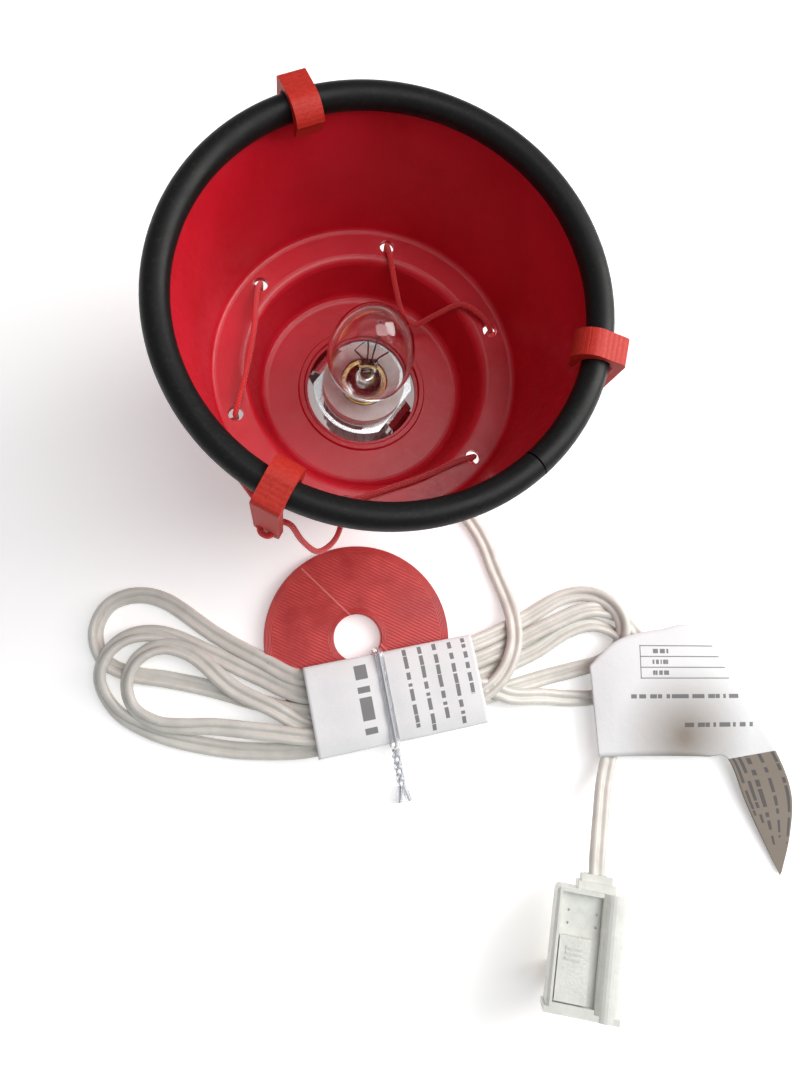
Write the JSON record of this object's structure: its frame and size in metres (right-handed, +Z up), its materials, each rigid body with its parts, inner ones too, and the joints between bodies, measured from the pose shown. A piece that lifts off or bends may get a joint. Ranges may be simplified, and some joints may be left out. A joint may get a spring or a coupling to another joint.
{
  "type": "hummingbird feeder heater",
  "caption": "Stepped open bowl with tube rim, hook clips on an elastic lace, a clear lamp in a clip-in socket, hanked flat lead with spacer ring, tag and fused plug.",
  "frame": {"origin": "on the bowl's axis, in the plane of the foot ring that it stands on", "axes": "+Z up along the bowl's and lamp's axis; the lead and plug lie towards -Y, and +X is to the right of someone facing +Y"},
  "size_m": [0.2225, 0.2303, 0.096],
  "materials": {
    "red_plastic": "satin moulded plastic, finely scuffed",
    "black_tubing": "soft sheen black tubing",
    "white_phenolic": "matt moulded",
    "brass": "drawn, lightly dulled",
    "sprung_steel": "bright rolled strip",
    "red_elastic": "braided elastic cord",
    "red_print": "3D-printed, fine layer lines",
    "red_print_disc": "3D-printed, coarse diagonal infill",
    "clear_glass": "clear blown glass",
    "dark_wire": "dark drawn wire",
    "black_glass": "glossy",
    "solder": "dull solder",
    "white_lead": "smooth extruded vinyl",
    "label_paper": "uncoated printed paper",
    "clear_tie": "translucent ribbon over wire",
    "white_plug": "satin moulded plastic",
    "fuse_glass": "clear glass tube"
  },
  "bodies": {
    "root": {"bowl_shell": "red_plastic", "rim_tube": "black_tubing", "socket_body": "white_phenolic", "socket_base": "white_phenolic", "screw_shell": "brass", "centre_contact": "brass", "spring_clip": "sprung_steel", "lace_inner_1": "red_elastic", "lace_inner_2": "red_elastic", "lace_inner_3": "red_elastic", "cord_lead": "white_lead", "cord_hank": "white_lead", "cord_tail": "white_lead", "label_wrap": "label_paper", "twist_tie": "clear_tie", "care_tag": "label_paper", "spacer_ring": "red_print_disc", "plug_body": "white_plug", "blade_left": "brass", "blade_right": "brass", "fuses": "fuse_glass", "fuse_contacts": "brass"},
    "hook_1": {"hook_1": "red_print", "lace_outer_1": "red_elastic"},
    "hook_2": {"hook_2": "red_print", "lace_outer_2": "red_elastic"},
    "hook_3": {"hook_3": "red_print", "lace_outer_3": "red_elastic"},
    "bulb_rise": {"bulb_tip": "solder"},
    "bulb": {"bulb_glass": "clear_glass", "bulb_stem": "clear_glass", "bulb_wires": "dark_wire", "bulb_filament": "dark_wire", "bulb_base": "brass", "bulb_insulator": "black_glass"},
    "fuse_door": {"fuse_door": "white_plug"}
  },
  "joints": [
    {"name": "hook_1_lift", "type": "slide", "parent": "root", "child": "hook_1", "axis": [0, 0, 1], "range_m": [0, 0.055], "deforming": ["lace_outer_1"]},
    {"name": "hook_2_lift", "type": "slide", "parent": "root", "child": "hook_2", "axis": [0, 0, 1], "range_m": [0, 0.055], "deforming": ["lace_outer_2"]},
    {"name": "hook_3_lift", "type": "slide", "parent": "root", "child": "hook_3", "axis": [0, 0, 1], "range_m": [0, 0.055], "deforming": ["lace_outer_3"]},
    {"name": "bulb_rise", "type": "slide", "parent": "root", "child": "bulb_rise", "axis": [0, 0, 1], "range_m": [0, 0.0127]},
    {"name": "bulb_turn", "type": "hinge", "parent": "bulb_rise", "child": "bulb", "pos_m": [0, 0, 0.04], "axis": [0, 0, 1], "range_deg": [0, 1800]},
    {"name": "fuse_door_slide", "type": "slide", "parent": "root", "child": "fuse_door", "axis": [0.1781, 0.9801, -0.0872], "range_m": [0, 0.011]}
  ],
  "couplings": [
    {"joint": "bulb_turn", "follows": "bulb_rise", "rad_per_m": 2473.7}
  ]
}
